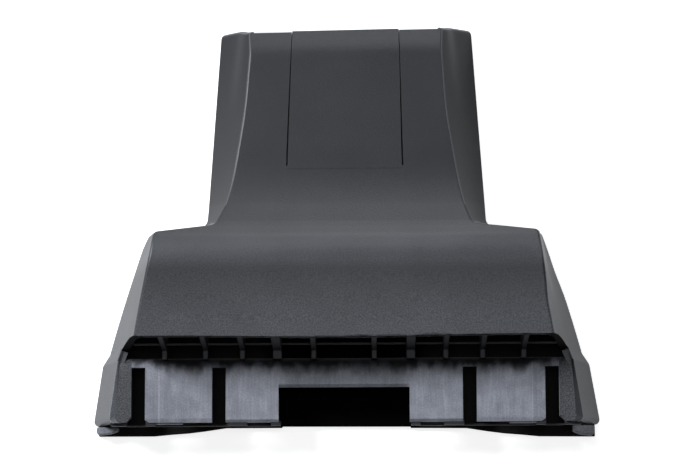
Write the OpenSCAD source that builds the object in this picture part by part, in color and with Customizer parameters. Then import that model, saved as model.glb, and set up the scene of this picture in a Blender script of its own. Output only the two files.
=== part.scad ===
// Cover for the foot of a roof rack, moulded in one piece of black plastic.
// It lies on its rim: +Z is the outer side, +Y the neck, -Y the end that stands on the car roof.
// Heights are above the rim. The wide base and the narrow neck meet at the shoulder, at y = 0 here.

/* [Neck] */
// Shoulder to the far end of the neck's rim
neck_l = 64.9; // [52:0.1:76]
// Width over the rim at the neck's end
neck_end_w = 78; // [68:0.5:84]
// Width over the rim where the neck meets the base
neck_root_w = 86.4; // [84:0.1:92]
// Height of the face at the bend near the neck's end
neck_h = 24; // [20:0.5:28]
// Lean of the neck's side walls at its end, degrees from upright
neck_end_lean = 27.5; // [20:0.5:30]
// Lean of the neck's side walls at the shoulder, degrees
neck_root_lean = 9; // [6:0.5:12]
// Lean of the end cut, degrees
end_slant = 8.1; // [3:0.1:10]
// Length of the bevel that closes the face at the neck's end
end_bevel_l = 6.6; // [4:0.1:9]
// Slope of that bevel, degrees
end_bevel_angle = 20; // [10:1:30]
// Radius of the bend between face and bevel
bend_r = 16; // [6:1:20]

/* [Front face] */
// Slope of the neck's face before it sweeps out, degrees
neck_slope = 2.5; // [1:0.5:5]
// Distance from the shoulder to where the face starts to sweep out
sweep_start = 26; // [22:0.5:32]
// Radius of the sweep from neck to base
sweep_r = 55; // [45:1:60]
// Steepest slope of the sweep, degrees
sweep_angle = 35; // [30:1:38]
// Radius of the bend over the crest
crest_r = 13; // [9:0.5:15]
// Fall of the base's face towards the lip, degrees
face_fall = 4; // [2:0.5:6]

/* [Base] */
// Shoulder to the end of the side walls
base_l = 57.1; // [52:0.1:64]
// Shoulder to the edge of the lip
lip_y = 32.8; // [29:0.1:35]
// Width over the rim at the shoulder
shoulder_w = 121.2; // [116:0.1:128]
// Width over the rim beside the lip
lip_rim_w = 143.9; // [138:0.1:146]
// Width over the rim at the base's end
rim_w = 154.5; // [150:0.5:164]
// Lean of the side wall at the shoulder, degrees
shoulder_lean = 8.4; // [6:0.2:10]
// Lean of the side wall beside the lip, degrees
lip_lean = 16.7; // [14:0.1:18]
// Lean of the side wall at the base's end, degrees
rim_lean = 19; // [17:0.5:21]
// Distance that the shoulder's outer corner lies back from its inner one
shoulder_sweep = 2.2; // [1.5:0.1:4]
// Lean of the shoulder wall, degrees
shoulder_draft = 6.2; // [3:0.1:7]
// Outward step of the side walls beyond the lip
skirt_step = 2.2; // [1:0.1:3]
// Length of that step
skirt_step_l = 3.4; // [2.5:0.1:6]
// Bow of the side walls between shoulder and lip
side_bow = 0.4; // [0:0.1:1]

/* [Walls and corners] */
// Thickness of the moulded wall
wall = 2.4; // [1.8:0.1:3]
// Radius of the corner between neck and shoulder
neck_fillet_r = 3; // [2:0.5:5]
// Radius of the shoulder's outer corner
shoulder_r = 2; // [1.6:0.2:5]
// Radius of the corners at both ends of the rim
end_corner_r = 1.6; // [1:0.2:3]

/* [Tongue] */
// Width of the tongue at its free end
tongue_end_w = 32.8; // [26:0.1:38]
// Width of the tongue at its hinge
tongue_root_w = 34.8; // [28:0.1:40]
// Distance from the shoulder to the hinge
hinge_y = 18; // [14:0.5:24]
// Width of the slits beside the tongue, at the hinge
slit_w = 0.4; // [0.3:0.05:1]
// Width of the slits at the tongue's free end
slit_end_w = 0.15; // [0.1:0.05:0.6]
// Reach of the tongue past the neck's end
tongue_proud = 0.35; // [0.1:0.05:0.8]
// Thickness left at the hinge
hinge_t = 1; // [0.6:0.1:1.4]
// Width of the groove that makes the hinge
hinge_w = 1.6; // [1:0.1:2.5]

/* [Slotted plate] */
// Height of the plate's outer face
plate_h = 18; // [15:0.5:19.5]
// Thickness of the plate
plate_t = 2.2; // [1.6:0.1:3]
// Length over which the plate's near edge curves down
near_curve_l = 4.4; // [2:0.1:6]
// Distance from the lip's edge to the plate's near edge
plate_gap = 4.9; // [4:0.1:6]
// Distance from the lip's edge to the plate's far edge
plate_reach = 24.1; // [22.8:0.1:26]
// Width of the middle opening
opening_w = 39; // [32:0.5:42]
// Depth of the middle opening from the plate's far edge
opening_l = 10.4; // [8:0.1:13]
// Width of each slot
slot_w = 4.1; // [3:0.1:5]
// Length of the slots from the plate's far edge
slot_l = 16.4; // [12:0.1:17]
// Width of the pads next to the opening
inner_pad_w = 15.8; // [13:0.1:18]
// Width of the outer pads
outer_pad_w = 20.2; // [17:0.1:22]
// Bevel along the foot of the outer pads
outer_bevel = 1.5; // [0.6:0.1:2]
// Bevel along the foot of the inner pads
inner_bevel = 0.8; // [0.4:0.1:1.4]
// Corner cut off the end strips
strip_chamfer = 1.6; // [0.8:0.1:2.4]
// Height of the side walls' edge above the plate at the base's end
cheek_rise = 2.5; // [1:0.1:4]

/* [Ribs under the lip] */
// Distances of the ribs from the middle, the same on both sides
rib_x = [9, 19.9, 30.3, 41.3, 53.5];
// Thickness of a rib
rib_t = 1.6; // [1:0.1:2]
// Thickness of the second rib from the middle
strong_rib_t = 2.7; // [2:0.1:3.5]
// Distance a rib runs back under the lip
rib_run = 7; // [5:0.5:10]
// How far a rib's front edge runs out on its way down to its foot
rib_rake = 2.4; // [0.5:0.1:3]
// Height of the rib's foot above the plate's face
foot_rise = 0.6; // [0.2:0.1:1.2]
// Depth of the cross bar below the lip's edge
bar_drop = 14.4; // [12:0.1:16]
// Width of the cross bar
bar_w = 2.4; // [1.5:0.1:4]
// Thickness of the cross bar
bar_t = 1.2; // [0.8:0.1:2]

/* [Rail and bosses] */
// Height of the rail's upper edge
rail_h = 13; // [11:0.5:14]
// Width of the rail
rail_w = 2; // [1.2:0.1:3]
// Thickness of the rail
rail_t = 0.7; // [0.5:0.1:1]
// Gap between the plate's far edge and the rail
rail_gap = 0.4; // [0.2:0.1:0.8]
// Width of the boss under each outer pad
boss_w = 8.3; // [5:0.1:10]
// Distance of the boss from the outer pad's inner edge
boss_in = 9.4; // [7:0.1:11]
// Width of the block beside the opening
near_block_w = 2.8; // [1.5:0.1:4]
// Width of the block beside the slot
far_block_w = 6; // [4:0.1:7]

/* [Rear tie and feet] */
// Thickness of the tie across the rear of the base
tie_t = 2.2; // [1.6:0.1:3]
// Distance from the shoulder to the tie's inner edge
tie_in_y = 26; // [24:0.5:28]
// Reach of the feet past the end of the side walls
foot_reach = 3; // [2.5:0.1:5]
// Height of the feet
foot_h = 6; // [4:0.5:8]
// Width of a foot
foot_w = 6.5; // [5:0.1:8]
// Distance of a foot from the outside of the rim
foot_inset = 1.7; // [1:0.1:3]
// Distance from the middle to where the tie's edge reaches full depth
tie_deep_x = 57.7; // [52:0.1:62]
// Distance from the middle to where the tie's edge levels off
tie_shallow_x = 38.3; // [34:0.1:44]
// Reach of the tie's edge past the side walls where it is level
tie_shallow = 0.6; // [0.4:0.1:2]
// Reach of the tie's edge across the middle opening
tie_middle = 0.2; // [0.1:0.1:0.8]

/* [Hidden] */
$fn = 48;

// Share of the neck walls' change of lean that comes evenly along the neck
even_lean_share = 0.6;
// Faces along one neck wall, one base wall, each arc of the front face and round each corner
neck_steps = 12;
side_steps = 6;
arc_steps = 12;
corner_steps = 5;
// How far cutting shapes run past what they cut
over = 1;
// Moves the middle of the part's length onto the origin
shift_y = (base_l + foot_reach - neck_l) / 2;
// How much further out the lip's lower edge lies than its upper one
lip_undercut = wall / 7;
// How far the mouth's side edge runs out on its way down to the plate
mouth_rake = plate_gap / 2;
// How fast the side walls run out towards the base's end
cheek_slope = (rim_w - lip_rim_w - 2 * skirt_step) / 2 / (base_l - lip_y - mouth_rake - skirt_step_l);
// How fast the side walls draw in from the mouth towards the shoulder
side_run = (lip_rim_w - shoulder_w) / 2 / lip_y;
near_edge_y = -(lip_y + plate_gap);
far_edge_y = -(lip_y + plate_reach);
slot_top_y = far_edge_y + slot_l;
opening_top_y = far_edge_y + opening_l;
inner_pad_x = opening_w / 2;
inner_slot_x = inner_pad_x + inner_pad_w;
outer_pad_x = inner_slot_x + slot_w;
outer_slot_x = outer_pad_x + outer_pad_w;
strip_x = outer_slot_x + slot_w;

// Front face, as [y, z, slope] from the neck's end to the lip; a positive slope rises towards the base
break_y = neck_l - neck_h * tan(end_slant) - end_bevel_l;
sweep_z = neck_h + (break_y - sweep_start) * tan(neck_slope);
steep_y = sweep_start - sweep_r * (sin(sweep_angle) - sin(neck_slope));
steep_z = sweep_z + sweep_r * (cos(neck_slope) - cos(sweep_angle));
crest_y = steep_y - crest_r * (sin(sweep_angle) + sin(face_fall));
crest_z = steep_z + crest_r * (1 - cos(sweep_angle));
lip_z = steep_z + crest_r * (cos(face_fall) - cos(sweep_angle)) - (crest_y + lip_y) * tan(face_fall);
bevel_run = end_bevel_l + over + neck_h * tan(end_slant);
// How far the bend reaches from its corner, along the face and along the bevel
bend_reach = bend_r * tan((end_bevel_angle - neck_slope) / 2);

function turned(a, b, k, n) = a + (b - a) * k / n;

// Points along the front face, each with the slope there, a thickness below the surface
function face_points(t) = let (
    bend = [
        for (k = [0 : arc_steps])
            let (a = turned(end_bevel_angle, neck_slope, k, arc_steps))
                [
                    break_y - bend_reach * cos(neck_slope) + bend_r * (sin(a) - sin(neck_slope)),
                    neck_h + bend_reach * sin(neck_slope) + bend_r * (cos(a) - cos(neck_slope)),
                    a
                ]
    ],
    sweep = [
        for (k = [0 : arc_steps])
            let (a = turned(neck_slope, sweep_angle, k, arc_steps))
                [
                    sweep_start - sweep_r * (sin(a) - sin(neck_slope)),
                    sweep_z + sweep_r * (cos(neck_slope) - cos(a)),
                    a
                ]
    ],
    crest = [
        for (k = [1 : arc_steps])
            let (a = turned(sweep_angle, -face_fall, k, arc_steps))
                [
                    steep_y - crest_r * (sin(sweep_angle) - sin(a)),
                    steep_z + crest_r * (cos(a) - cos(sweep_angle)),
                    a
                ]
    ],
    far = [[break_y + bevel_run, neck_h - bevel_run * tan(end_bevel_angle), end_bevel_angle]]
)
    [for (p = concat(far, bend, sweep, crest)) [p[0] - t * sin(p[2]), p[1] - t * cos(p[2])]];

// Corner p rounded with radius r, from the side of a to the side of b
function unit(v) = v / norm(v);
function spun(v, a) = [v[0] * cos(a) - v[1] * sin(a), v[0] * sin(a) + v[1] * cos(a)];
function corner(a, p, b, r) = let (
    u = unit(a - p),
    v = unit(b - p),
    half = acos(u * v) / 2,
    centre = unit(u + v) * r / sin(half),
    first = u * (r / tan(half)) - centre,
    way = sign(u[0] * v[1] - u[1] * v[0])
)
    [for (k = [0 : corner_steps]) p + centre + spun(first, -way * (180 - 2 * half) * k / corner_steps)];

// Moves each side of a closed outline inwards, the corners with their radii too
function inset_outline(pts, d) = let (n = len(pts))
    [
        for (i = [0 : n - 1])
            let (
                a = [pts[(i + n - 1) % n][0], pts[(i + n - 1) % n][1]],
                p = [pts[i][0], pts[i][1]],
                b = [pts[(i + 1) % n][0], pts[(i + 1) % n][1]],
                m = unit(spun(p - a, 90)),
                q = unit(spun(b - p, 90)),
                bulge = sign((p - a)[0] * (b - p)[1] - (p - a)[1] * (b - p)[0]),
                moved = p + d * (m + q) / (1 + m * q)
            )
                [moved[0], moved[1], pts[i][2] == 0 ? 0 : max(pts[i][2] - bulge * d, wall / 8)]
    ];

function rounded(pts) = let (n = len(pts))
    [
        for (i = [0 : n - 1])
            let (
                a = [pts[(i + n - 1) % n][0], pts[(i + n - 1) % n][1]],
                p = [pts[i][0], pts[i][1]],
                b = [pts[(i + 1) % n][0], pts[(i + 1) % n][1]]
            )
                each pts[i][2] == 0 ? [p] : corner(a, p, b, pts[i][2])
    ];

// One side of the outline at a height, from the base's end to the neck's end, as [x, y, corner radius]
function neck_lean(u) =
    neck_end_lean - (neck_end_lean - neck_root_lean)
        * (even_lean_share * u + (1 - even_lean_share) * pow(u, 6));
function neck_root_y(z) = (neck_fillet_r + wall / 3) - z * tan(shoulder_draft);
function neck_end_y(z) = neck_l - z * tan(end_slant);
function lean_in(z, a) = z * tan(a);
function base_side(z, reach) = [
    [
        rim_w / 2 + cheek_slope * reach - lean_in(z, rim_lean),
        -base_l - reach,
        reach > 0 ? 0 : end_corner_r
    ],
    [
        lip_rim_w / 2 + skirt_step - lean_in(z, rim_lean),
        -lip_y - mouth_rake - skirt_step_l,
        0
    ],
    for (k = [0 : side_steps - 1])
        let (
            u = k / side_steps,
            x = turned(lip_rim_w, shoulder_w, u, 1) / 2 + 4 * side_bow * u * (1 - u),
            y = turned(-lip_y - mouth_rake, neck_root_y(z) - shoulder_sweep, u, 1)
        )
            [x - lean_in(z, turned(lip_lean, shoulder_lean, u, 1)), y, 0],
    [
        shoulder_w / 2 - lean_in(z, shoulder_lean),
        neck_root_y(z) - shoulder_sweep,
        shoulder_r
    ]
];
function neck_side(z, reach) = concat(
    [[neck_root_w / 2 - lean_in(z, neck_root_lean), neck_root_y(z), neck_fillet_r]],
    [
        for (k = [2 : neck_steps])
            let (
                u = 1 - k / neck_steps,
                last = k == neck_steps,
                x = turned(neck_end_w, neck_root_w, u, 1) / 2 - lean_in(z, neck_lean(u)),
                y = turned(neck_end_y(z), neck_root_y(z), u, 1)
            )
                [x, y + (last ? reach : 0), last && reach == 0 ? end_corner_r : 0]
    ]
);
function outline(z, d, reach) = let (
    right = concat(base_side(z, reach), neck_side(z, reach)),
    n = len(right),
    left = [for (i = [n - 1 : -1 : 0]) [-right[i][0], right[i][1], right[i][2]]]
)
    rounded(inset_outline(concat(right, left), d));

// Body between the outline at its foot and the outline at its top, with leaning walls
module drafted(d = 0, reach = 0) {
    z0 = -over;
    z1 = crest_z + over;
    foot = outline(z0, d, reach);
    top = outline(z1, d, reach);
    n = len(foot);
    // each side face turns a little as it rises, so it is four triangles round its middle
    middles = [
        for (i = [0 : n - 1])
            let (m = (foot[i] + foot[(i + 1) % n] + top[i] + top[(i + 1) % n]) / 4)
                [m[0], m[1], (z0 + z1) / 2]
    ];
    // both ends are closed with strips from side to side, as the outline is the same left and right
    polyhedron(
        points = concat(
            [for (p = foot) [p[0], p[1], z0]],
            [for (p = top) [p[0], p[1], z1]],
            middles
        ),
        faces = concat(
            [for (i = [0 : n / 2 - 2]) [i, i + 1, n - 2 - i, n - 1 - i]],
            [for (i = [0 : n / 2 - 2]) [2 * n - 1 - i, 2 * n - 2 - i, n + i + 1, n + i]],
            [
                for (i = [0 : n - 1])
                    let (j = (i + 1) % n, m = 2 * n + i)
                        each [[i, n + i, m], [n + i, n + j, m], [n + j, j, m], [j, i, m]]
            ]
        ),
        convexity = 6
    );
}

// A side view, [y, z], drawn out along the width
module across(pts, w, x = 0) {
    translate([x, 0, 0]) rotate([90, 0, 90]) linear_extrude(w, center = true) polygon(pts);
}

module both_sides() {
    children();
    mirror([1, 0, 0]) children();
}

lip_edge = [-lip_y, lip_z];
lip_under = [-lip_y - lip_undercut, lip_z - wall];
mouth_foot = [-lip_y - mouth_rake, plate_h];

// Solid under the front face, from the neck's end to the base's end
module filled() {
    far_y = neck_l + over;
    across(
        concat(
            face_points(0),
            [lip_edge, mouth_foot],
            [[-base_l - over, plate_h + cheek_rise], [-base_l - over, 0], [far_y, 0]]
        ),
        rim_w
    );
}

// Room inside the walls and under the skin, open at the back, at the neck's end and past the lip
module hollow() {
    intersection() {
        drafted(wall, wall + over);
        across(
            concat(
                face_points(wall),
                [lip_under, lip_edge, [-lip_y, crest_z + 2 * over]],
                [[-base_l - 2 * over, crest_z + 2 * over], [-base_l - 2 * over, -2 * over]],
                [[neck_l + 2 * over, -2 * over]]
            ),
            rim_w
        );
    }
}

// Bevels the inside of the side walls at the base's end, down to the plate's face
module cheek_cut() {
    near_x = lip_rim_w / 2 + skirt_step;
    near_y = -lip_y - mouth_rake - skirt_step_l;
    edge = wall / 8 + lean_in(cheek_rise, rim_lean);
    translate([near_x - lean_in(plate_h, rim_lean), near_y, plate_h])
        rotate([90, 0, atan(cheek_slope)])
            linear_extrude(base_l)
                polygon([
                    [-2 * wall, 0],
                    [-edge - cheek_rise / 2, 0],
                    [-edge, cheek_rise],
                    [-2 * edge, 2 * cheek_rise],
                    [-2 * wall, 2 * cheek_rise]
                ]);
}

// Cuts a bevel along an edge of the plate, at a given y
module edge_bevel(x, w, y, bevel) {
    far = bevel + over;
    across(
        [
            [y + far, plate_h + over],
            [y - over, plate_h + over],
            [y - over, plate_h - far]
        ],
        w, x + w / 2
    );
}

// Side view of the plate; its near edge curves down into the mouth
module plate_side() {
    back = plate_h - plate_t;
    across(
        concat(
            [[far_edge_y - over, back], [far_edge_y - over, plate_h]],
            [
                for (k = [0 : arc_steps])
                    let (a = 90 - 90 * k / arc_steps)
                        [near_edge_y - near_curve_l * (1 - cos(a)), back + plate_t * sin(a)]
            ]
        ),
        rim_w + over
    );
}

// Plan of the plate: middle opening, four slots and the cut corners of the end strips
module plate_plan() {
    half = [
        [inner_pad_x, opening_top_y],
        [inner_pad_x, far_edge_y],
        [inner_slot_x, far_edge_y],
        [inner_slot_x, slot_top_y],
        [outer_pad_x, slot_top_y],
        [outer_pad_x, far_edge_y],
        [outer_slot_x, far_edge_y],
        [outer_slot_x, slot_top_y],
        [strip_x, slot_top_y],
        [strip_x, far_edge_y + strip_chamfer],
        [strip_x + strip_chamfer, far_edge_y],
        [rim_w / 2, far_edge_y],
        [rim_w / 2, near_edge_y + over]
    ];
    n = len(half);
    translate([0, 0, plate_h - plate_t - over])
        linear_extrude(plate_t + 2 * over)
            polygon(concat(half, [for (i = [n - 1 : -1 : 0]) [-half[i][0], half[i][1]]]));
}

module plate() {
    difference() {
        intersection() {
            plate_side();
            plate_plan();
        }
        edge_bevel(-inner_pad_x, opening_w, opening_top_y, inner_bevel);
        both_sides() {
            edge_bevel(inner_pad_x - slot_w / 2, inner_pad_w + slot_w, far_edge_y, inner_bevel);
            edge_bevel(outer_pad_x - slot_w / 2, outer_pad_w + slot_w, far_edge_y, outer_bevel);
        }
    }
}

// Web from the lip's underside to the plate, with a foot that runs onto the plate
module rib(x, t) {
    front_y = -lip_y;
    foot_z = plate_h + foot_rise;
    foot_y = near_edge_y - wall / 6;
    skin_z = lip_z - wall / 2;
    across(
        [
            [front_y, skin_z],
            [front_y - rib_rake, foot_z],
            [foot_y, foot_z],
            [foot_y, plate_h - plate_t],
            [front_y + rib_run / 3, plate_h - plate_t],
            [front_y + rib_run, skin_z]
        ],
        t, x
    );
}

module ribs() {
    both_sides() for (i = [0 : len(rib_x) - 1]) rib(rib_x[i], i == 1 ? strong_rib_t : rib_t);
}

module cross_bar() {
    y = -lip_y - lip_undercut - bar_t / 3;
    z = lip_z - bar_drop;
    across([[y, z], [y + bar_t, z], [y + bar_t, z - bar_w], [y, z - bar_w]], rim_w);
}

// Thin rail along the plate's far edge, with the bosses and blocks that carry it
module rail() {
    near = far_edge_y - rail_gap;
    z = rail_h - rail_w;
    both_sides() {
        translate([inner_pad_x, near - rail_t, z])
            cube([strip_x + foot_w - inner_pad_x, rail_t, rail_w]);
        for (b = [
            [inner_pad_x, near_block_w],
            [inner_slot_x - far_block_w, far_block_w],
            [outer_slot_x - near_block_w, near_block_w],
            [strip_x + strip_chamfer, foot_w - strip_chamfer]
        ])
            translate([b[0], near - rail_t, z])
                cube([b[1], rail_gap + rail_t + wall / 4, plate_h - plate_t / 2 - z]);
        translate([outer_pad_x + boss_in, near, z])
            cube([boss_w, rail_gap + wall / 4, plate_h - outer_bevel - z]);
    }
}

// Tie across the rear of the base; its edge follows the roof, deep at the corners
module tie() {
    deep = -base_l - foot_reach;
    level = -base_l - tie_shallow;
    middle = -base_l - tie_middle;
    half = [
        [inner_pad_x, middle],
        [inner_pad_x, level],
        [tie_shallow_x, level],
        [(tie_shallow_x + tie_deep_x) / 2, (level + deep) / 2],
        [tie_deep_x, deep],
        [rim_w / 2 - foot_inset, deep],
        [rim_w / 2 - foot_inset, -base_l],
        [lip_rim_w / 2 + skirt_step - foot_inset, -lip_y - mouth_rake - skirt_step_l],
        [lip_rim_w / 2 - foot_inset, -lip_y - mouth_rake],
        [lip_rim_w / 2 - foot_inset - (lip_y - tie_in_y) * side_run, -tie_in_y]
    ];
    n = len(half);
    linear_extrude(tie_t)
        polygon(concat(half, [for (i = [n - 1 : -1 : 0]) [-half[i][0], half[i][1]]]));
}

module foot() {
    x = rim_w / 2 - foot_inset - foot_w;
    y = -base_l - foot_reach;
    r = foot_w / 5;
    linear_extrude(foot_h)
        polygon([
            [x, y + r],
            [x + r, y],
            [x + foot_w - r, y],
            [x + foot_w, y + r],
            [x + foot_w, -base_l - rail_gap],
            [x, -base_l - rail_gap]
        ]);
}

// Slits that free the tongue, and the groove that lets it bend
module tongue_cuts() {
    far = neck_l + over;
    end_y = neck_l - neck_h * tan(end_slant);
    slope = (tongue_root_w - tongue_end_w) / 2 / (end_y - hinge_y);
    root_x = tongue_root_w / 2;
    far_x = root_x - slope * (far - hinge_y);
    both_sides()
        translate([0, 0, neck_h / 2])
            linear_extrude(neck_h)
                polygon([
                    [root_x, hinge_y],
                    [root_x + slit_w, hinge_y],
                    [far_x + slit_end_w, far],
                    [far_x, far]
                ]);
    groove_z = sweep_z + (sweep_start - hinge_y) * tan(neck_slope);
    translate([-root_x, hinge_y - hinge_w / 2, groove_z - wall - over])
        cube([tongue_root_w, hinge_w, wall + over - hinge_t]);
}

module tongue_end() {
    end_y = neck_l - neck_h * tan(end_slant) + tongue_proud;
    end_z = neck_h - (end_y - break_y) * tan(end_bevel_angle);
    root_y = break_y + bend_reach;
    root_z = neck_h - bend_reach * tan(end_bevel_angle);
    across(
        [
            [root_y, root_z],
            [end_y, end_z],
            [end_y - wall * sin(end_bevel_angle), end_z - wall * cos(end_bevel_angle)],
            [root_y, root_z - wall]
        ],
        tongue_end_w
    );
}

module cover() {
    color("#38383c")
        translate([0, shift_y, 0]) {
            difference() {
                union() {
                    intersection() {
                        drafted();
                        union() {
                            difference() {
                                filled();
                                hollow();
                            }
                            plate();
                            ribs();
                            cross_bar();
                        }
                    }
                    tongue_end();
                    rail();
                    tie();
                    both_sides() foot();
                }
                tongue_cuts();
                both_sides() cheek_cut();
            }
        }
}

cover();
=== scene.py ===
from math import acos, cos, pi, radians, sin, sqrt, tan

import bmesh
import bpy
import numpy as np
from mathutils import Matrix, Vector


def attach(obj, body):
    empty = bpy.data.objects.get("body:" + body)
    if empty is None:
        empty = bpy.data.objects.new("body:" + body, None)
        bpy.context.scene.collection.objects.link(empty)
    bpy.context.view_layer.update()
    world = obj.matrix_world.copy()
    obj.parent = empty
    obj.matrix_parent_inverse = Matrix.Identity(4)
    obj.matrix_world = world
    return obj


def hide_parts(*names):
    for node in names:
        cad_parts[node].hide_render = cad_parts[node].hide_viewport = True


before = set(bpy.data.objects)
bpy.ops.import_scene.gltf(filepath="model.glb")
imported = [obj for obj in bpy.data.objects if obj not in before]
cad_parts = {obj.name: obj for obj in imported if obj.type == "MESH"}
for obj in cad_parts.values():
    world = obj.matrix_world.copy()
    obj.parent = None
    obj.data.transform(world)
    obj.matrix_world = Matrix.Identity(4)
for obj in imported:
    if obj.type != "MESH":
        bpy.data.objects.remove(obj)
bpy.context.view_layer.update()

MM = 0.001
# from the source's y, measured from the neck's root, to the part's frame
SHIFT_Y = -2.4

# Sizes in mm and degrees, as in the part's source.
NECK_L, NECK_END_W, NECK_ROOT_W, NECK_H = 64.9, 78.0, 86.4, 24.0
NECK_END_LEAN, NECK_ROOT_LEAN = 27.5, 9.0
END_SLANT, END_BEVEL_L, END_BEVEL_A, BEND_R = 8.1, 6.6, 20.0, 16.0
NECK_SLOPE, SWEEP_START, SWEEP_R, SWEEP_A = 2.5, 26.0, 55.0, 35.0
CREST_R, FACE_FALL = 13.0, 4.0
BASE_L, LIP_Y, SHOULDER_W, LIP_RIM_W, RIM_W = 57.1, 32.8, 121.2, 143.9, 154.5
SHOULDER_LEAN, LIP_LEAN, RIM_LEAN = 8.4, 16.7, 19.0
SHOULDER_SWEEP, SHOULDER_DRAFT = 2.2, 6.2
SKIRT, SKIRT_L, SKIRT_R, SIDE_BOW = 2.2, 3.4, 2.5, 0.4
WALL, NECK_FILLET, END_R = 2.4, 3.0, 1.6
PLATE_H, PLATE_T, PLATE_GAP, PLATE_REACH = 18.0, 2.2, 4.9, 24.1
MOUTH_RAKE = PLATE_GAP / 2
MOUTH_Y = -LIP_Y - MOUTH_RAKE
NEAR_Y = -(LIP_Y + PLATE_GAP)
FAR_Y = -(LIP_Y + PLATE_REACH)
# half widths of the middle opening, the inner and the outer slots
OPEN_X, X1, X2, X3, X4 = 19.5, 35.3, 39.4, 59.6, 63.7
SLOT_Y, OPEN_Y = FAR_Y + 16.4, FAR_Y + 10.4

# Finer forms that the scene adds, or draws nearer to the photo than the source does.
LIP_END_Y, LIP_MID_Y = -32.1, -32.7
EDGE_R, EDGE_R_INSIDE, SHOULDER_R = 0.9, 0.5, 1.7
TONGUE_END_W, TONGUE_ROOT_W, TONGUE_PROUD = 32.0, 34.1, 0.35
HINGE_Y = 18.0
TONGUE_L = NECK_L - 3 - HINGE_Y
SLIT_W, SLIT_END_W, SLIT_LEAN, SLIT_SPREAD = 0.52, 0.2, 0.6, 0.6
CHEEK_RISE, CHEEK_FLAT, CHEEK_FOOT, CHEEK_SPREAD = 1.5, 0.3, 0.35, 1.1
CHEEK_INNER_H, CHEEK_LEDGE = PLATE_H - 0.7, 0.4
NEAR_CURVE, PLATE_SHIFT, SHIFT_FADE = 4.4, -0.45, 70.0
CURVE_Y = NEAR_Y - NEAR_CURVE
BEVEL_OUT, BEVEL_OUT_FALL, BEVEL_IN, FACET_W, FACET_DROP = 1.5, 0.35, 0.8, 4.0, 0.25
STRIP_IN, STRIP_CUT, PAD_CUT, PLATE_CLEAR = 1.7, 1.6, 1.2, 0.25
# for telling the grid's columns apart
TOL = 0.1


def T(a):
    return tan(radians(a))


def S(a):
    return sin(radians(a))


def C(a):
    return cos(radians(a))


# The front face's profile, from the neck's end bevel to the lip.
BREAK_Y = NECK_L - NECK_H * T(END_SLANT) - END_BEVEL_L
SWEEP_Z = NECK_H + (BREAK_Y - SWEEP_START) * T(NECK_SLOPE)
STEEP_Y = SWEEP_START - SWEEP_R * (S(SWEEP_A) - S(NECK_SLOPE))
STEEP_Z = SWEEP_Z + SWEEP_R * (C(NECK_SLOPE) - C(SWEEP_A))
CREST_Y = STEEP_Y - CREST_R * (S(SWEEP_A) + S(FACE_FALL))
LIP_Z = STEEP_Z + CREST_R * (C(FACE_FALL) - C(SWEEP_A)) - (CREST_Y + LIP_Y) * T(FACE_FALL)
BEND_T = BEND_R * T((END_BEVEL_A - NECK_SLOPE) / 2)
CREST_N, SWEEP_N, BEND_N = 40, 80, 20
PAST_LIP, PAST_END = 6, 20


def profile(t):
    """Points of the face a depth t under its surface, from lip to neck's end: y, z, slope."""
    pts = [(-LIP_Y - PAST_LIP, LIP_Z - PAST_LIP * T(FACE_FALL), -FACE_FALL)]
    for k in range(CREST_N, -1, -1):
        a = SWEEP_A + (-FACE_FALL - SWEEP_A) * k / CREST_N
        pts.append((STEEP_Y - CREST_R * (S(SWEEP_A) - S(a)),
                    STEEP_Z + CREST_R * (C(a) - C(SWEEP_A)), a))
    for k in range(1, SWEEP_N + 1):
        a = SWEEP_A + (NECK_SLOPE - SWEEP_A) * k / SWEEP_N
        pts.append((SWEEP_START - SWEEP_R * (S(a) - S(NECK_SLOPE)),
                    SWEEP_Z + SWEEP_R * (C(NECK_SLOPE) - C(a)), a))
    y0, z0 = BREAK_Y - BEND_T * C(NECK_SLOPE), NECK_H + BEND_T * S(NECK_SLOPE)
    for k in range(BEND_N + 1):
        a = NECK_SLOPE + (END_BEVEL_A - NECK_SLOPE) * k / BEND_N
        pts.append((y0 + BEND_R * (S(a) - S(NECK_SLOPE)),
                    z0 + BEND_R * (C(a) - C(NECK_SLOPE)), a))
    pts.append((BREAK_Y + PAST_END, NECK_H - PAST_END * T(END_BEVEL_A), END_BEVEL_A))
    return [(y - t * S(a), z - t * C(a), a) for y, z, a in pts]


class Face:
    """The front face's height and slope by y, a depth t under the surface."""

    def __init__(self, t):
        self.y, self.z, self.a = np.array(profile(t)).T

    def height(self, y):
        return float(np.interp(y, self.y, self.z))

    def slope(self, y):
        return float(np.interp(y, self.y, self.a))


# The plan outline of one side at a height.
SIDE_N, NECK_N, NECK_FIRST, CORNER_N = 16, 40, 4, 8


def neck_lean(u):
    return NECK_END_LEAN - (NECK_END_LEAN - NECK_ROOT_LEAN) * (0.6 * u + 0.4 * u ** 6)


def root_y(z):
    return NECK_FILLET + WALL / 3 - z * T(SHOULDER_DRAFT)


def end_y(z):
    return NECK_L - z * T(END_SLANT)


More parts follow.
